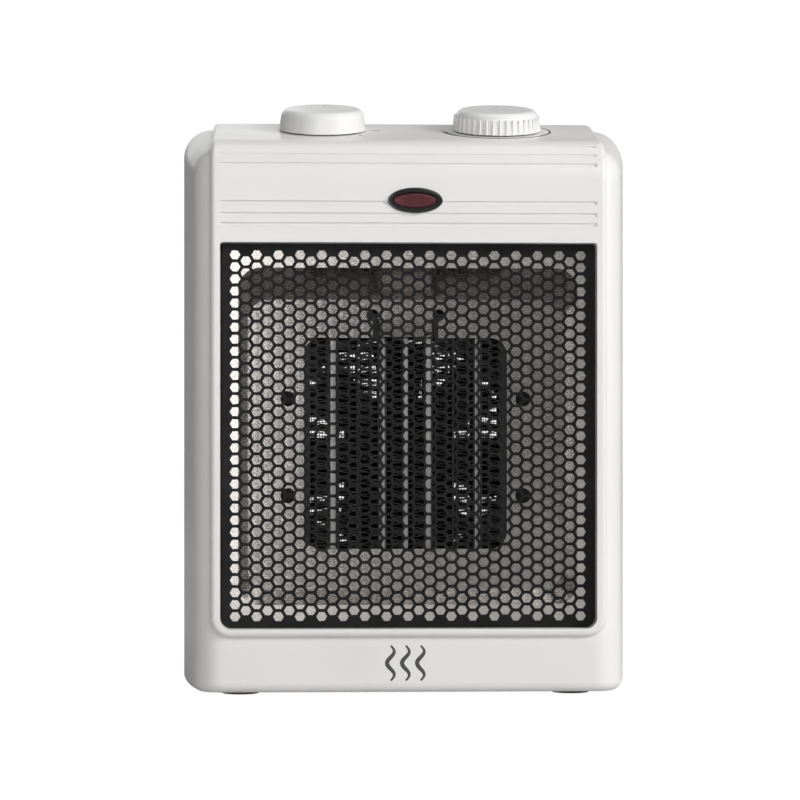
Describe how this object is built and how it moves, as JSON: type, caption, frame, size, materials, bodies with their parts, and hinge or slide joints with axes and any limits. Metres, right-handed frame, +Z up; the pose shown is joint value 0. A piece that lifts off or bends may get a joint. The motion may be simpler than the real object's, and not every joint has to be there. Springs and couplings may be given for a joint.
{
  "type": "ceramic fan heater",
  "caption": "Portable upright ceramic fan heater: white bowed casing, raised front panel, black perforated outlet grille, sloping deck with mode and thermostat knobs.",
  "frame": {"origin": "on the floor under the middle of the heater, at the feet's undersides", "axes": "+Z up; warm air leaves along -Y, so the front faces -Y; +X is to the right for someone looking at the front"},
  "size_m": [0.19, 0.144, 0.2518],
  "materials": {
    "casing_white": "moulded ABS, fine satin grain",
    "knob_white": "moulded ABS, satin",
    "grille_black": "black powder coat",
    "tray_steel": "plain rolled steel",
    "screw_black": "black oxide",
    "filter_net": "fine woven nylon net",
    "screw_steel": "zinc plated",
    "frame_black": "heat-resistant moulding",
    "bar_aluminium": "extruded, bright",
    "fin_aluminium": "brazed aluminium",
    "gasket_grey": "silicone",
    "duct_plastic": "moulded, heat-resistant",
    "fan_plastic": "moulded nylon",
    "steel": "bright steel",
    "lamination": "stacked laminations",
    "copper_winding": "enamelled copper wire",
    "brass": "plain",
    "switch_plastic": "thermoset moulding",
    "bezel_black": "polished",
    "lens_red": "tinted, polished",
    "lamp_glass": "clear glass",
    "foot_grey": "moulded rubber",
    "rubber_black": "moulded rubber",
    "lead_insulation": "silicone insulated lead",
    "ceramic_white": "unglazed"
  },
  "bodies": {
    "casing": {"control_nuts": "screw_steel", "cord_clamp": "frame_black", "cord_gland": "rubber_black", "core_divider": "bar_aluminium", "electrode_tabs": "brass", "element_screws": "screw_black", "fan_duct": "duct_plastic", "feet": "foot_grey", "fin_column_1": "fin_aluminium", "fin_column_2": "fin_aluminium", "fin_column_3": "fin_aluminium", "fin_column_4": "fin_aluminium", "fin_column_5": "fin_aluminium", "fin_column_6": "fin_aluminium", "fin_column_7": "fin_aluminium", "fin_column_8": "fin_aluminium", "front_grille": "grille_black", "front_housing": "casing_white", "front_panel": "casing_white", "heater_frame": "frame_black", "heater_gasket": "gasket_grey", "housing_screws": "screw_steel", "intake_filter": "filter_net", "lamp_holder": "frame_black", "lead_heater": "lead_insulation", "lead_motor": "lead_insulation", "lead_supply": "lead_insulation", "motor_brackets": "steel", "motor_bushes": "brass", "motor_coil": "copper_winding", "motor_mount": "duct_plastic", "motor_screws": "screw_steel", "motor_stator": "lamination", "neon_lamp": "lamp_glass", "outlet_tray": "tray_steel", "pilot_bezel": "bezel_black", "pilot_lens": "lens_red", "ptc_bar_1": "bar_aluminium", "ptc_bar_2": "bar_aluminium", "ptc_bar_3": "bar_aluminium", "ptc_bar_4": "bar_aluminium", "rear_housing": "casing_white", "rim_screws": "screw_steel", "selector_switch": "switch_plastic", "selector_terminals": "brass", "terminal_block": "switch_plastic", "thermal_cutoff": "ceramic_white", "thermal_fuse": "ceramic_white", "thermostat_bimetal": "steel", "thermostat_body": "ceramic_white", "tilt_switch_body": "frame_black"},
    "selector": {"selector_knob": "knob_white", "selector_shaft": "steel"},
    "thermostat": {"thermostat_knob": "knob_white", "thermostat_spindle": "brass"},
    "fan": {"fan_blade": "fan_plastic", "motor_shaft": "steel", "motor_rotor": "steel"},
    "tilt_plunger": {"tilt_plunger": "switch_plastic", "tilt_spring": "steel"}
  },
  "joints": [
    {"name": "selector_turn", "type": "hinge", "parent": "casing", "child": "selector", "pos_m": [-0.0352, -0.03, 0.23911], "axis": [0, -0.2455, 0.9694], "range_deg": [-135, 0]},
    {"name": "thermostat_turn", "type": "hinge", "parent": "casing", "child": "thermostat", "pos_m": [0.0392, -0.03, 0.23911], "axis": [0, -0.2455, 0.9694], "range_deg": [-270, 0]},
    {"name": "fan_spin", "type": "hinge", "parent": "casing", "child": "fan", "pos_m": [0, 0.03, 0.104], "axis": [0, 1, 0], "continuous": true},
    {"name": "tilt_plunge", "type": "slide", "parent": "casing", "child": "tilt_plunger", "axis": [0, 0, -1], "range_m": [-0.0008, 0.003], "stiffness_N_per_m": 60, "springref_m": 0.007, "deforming": ["tilt_spring"]}
  ]
}
